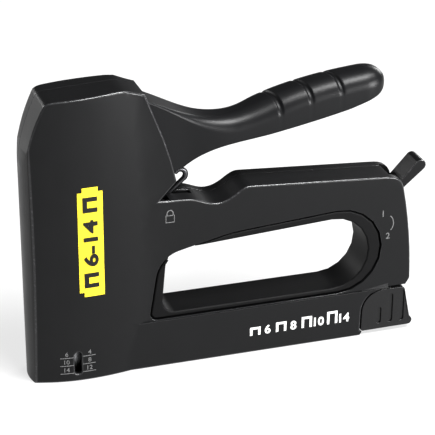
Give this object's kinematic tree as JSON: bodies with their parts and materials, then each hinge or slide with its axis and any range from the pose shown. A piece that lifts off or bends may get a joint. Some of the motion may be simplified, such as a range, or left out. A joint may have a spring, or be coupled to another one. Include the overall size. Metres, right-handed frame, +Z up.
{
  "type": "staple gun",
  "caption": "Hand-squeezed staple gun with a tall nose, a long cast grip handle, a finger hole, a rear-loading magazine and a two-position power lever.",
  "frame": {"origin": "the point on the flat base where the staple leaves the nose, on the middle plane", "axes": "+X from the nose to the back of the magazine, +Z up from the base, +Y towards the screwed side cover"},
  "size_m": [0.1965, 0.0305, 0.1411],
  "materials": {
    "cast_black": "satin black powder coat with fine texture",
    "handle_black": "satin black powder coat, rubbed smooth on the grip",
    "liner_black": "black moulded plastic, fine grain",
    "knob_black": "black moulded plastic, half gloss",
    "lever_black": "black painted die casting",
    "label_yellow": "printed yellow foil",
    "zinc_steel": "bright zinc plated steel",
    "hard_steel": "hardened and tempered steel, ground",
    "spring_steel": "oil tempered spring wire",
    "black_steel": "blackened steel",
    "rubber_black": "moulded rubber",
    "staple_wire": "galvanised staple wire, glued strip"
  },
  "bodies": {
    "body": {"main_housing": "cast_black", "side_cover": "cast_black", "cover_screws": "black_steel", "finger_hole_liner": "liner_black", "label_plate": "label_yellow", "handle_pivot_pin": "zinc_steel", "handle_return_spring": "spring_steel", "lever_fulcrum_pin": "zinc_steel", "drive_spring": "spring_steel", "spring_cap": "zinc_steel", "rubber_bumper": "rubber_black", "nose_plate": "zinc_steel", "blade_guide": "zinc_steel", "magazine_channel": "zinc_steel", "staple_track": "zinc_steel", "staple_strip": "staple_wire", "power_lever_pin": "zinc_steel", "lever_detent": "spring_steel", "handle_lock_pin": "zinc_steel"},
    "squeeze_handle": {"handle": "handle_black", "handle_roller": "hard_steel", "roller_pin": "zinc_steel", "lock_catch_pin": "zinc_steel"},
    "lifter": {"lifter_lever": "hard_steel"},
    "striker": {"plunger": "hard_steel", "driver_blade": "hard_steel"},
    "magazine": {"magazine_rod": "zinc_steel", "magazine_knob": "knob_black", "pusher_spring": "spring_steel"},
    "staple_pusher": {"pusher": "zinc_steel"},
    "selector": {"power_lever": "lever_black"},
    "selector_bar": {"power_bar": "zinc_steel"},
    "lock": {"handle_lock": "black_steel"}
  },
  "joints": [
    {"name": "handle_squeeze", "type": "hinge", "parent": "body", "child": "squeeze_handle", "pos_m": [0.027, 0, 0.12], "axis": [0, 1, 0], "range_deg": [0, 16], "stiffness_Nm_per_rad": 4, "springref_deg": -6.88, "deforming": ["handle_return_spring"]},
    {"name": "lifter_turn", "type": "hinge", "parent": "body", "child": "lifter", "pos_m": [0.034, 0, 0.092], "axis": [0, 1, 0], "range_deg": [0, 28]},
    {"name": "striker_slide", "type": "slide", "parent": "body", "child": "striker", "axis": [0, 0, 1], "range_m": [0, 0.0141], "deforming": ["drive_spring"]},
    {"name": "magazine_pull", "type": "slide", "parent": "body", "child": "magazine", "axis": [1, 0, 0], "range_m": [0, 0.095]},
    {"name": "pusher_slide", "type": "slide", "parent": "magazine", "child": "staple_pusher", "axis": [1, 0, 0], "range_m": [0, 0.03], "stiffness_N_per_m": 40, "springref_m": -0.08, "deforming": ["pusher_spring"]},
    {"name": "power_lever_turn", "type": "hinge", "parent": "body", "child": "selector", "pos_m": [0.17, 0, 0.068], "axis": [0, 1, 0], "range_deg": [0, 35]},
    {"name": "power_bar_slide", "type": "slide", "parent": "body", "child": "selector_bar", "axis": [1, 0, 0], "range_m": [0, 0.005]},
    {"name": "lock_turn", "type": "hinge", "parent": "body", "child": "lock", "pos_m": [0.059, 0, 0.0805], "axis": [0, -1, 0], "range_deg": [0, 20]}
  ],
  "couplings": [
    {"joint": "lifter_turn", "follows": "handle_squeeze", "ratio": 1.7375},
    {"joint": "striker_slide", "follows": "handle_squeeze", "m_per_rad": 0.05006},
    {"joint": "power_bar_slide", "follows": "power_lever_turn", "m_per_rad": 0.008}
  ]
}
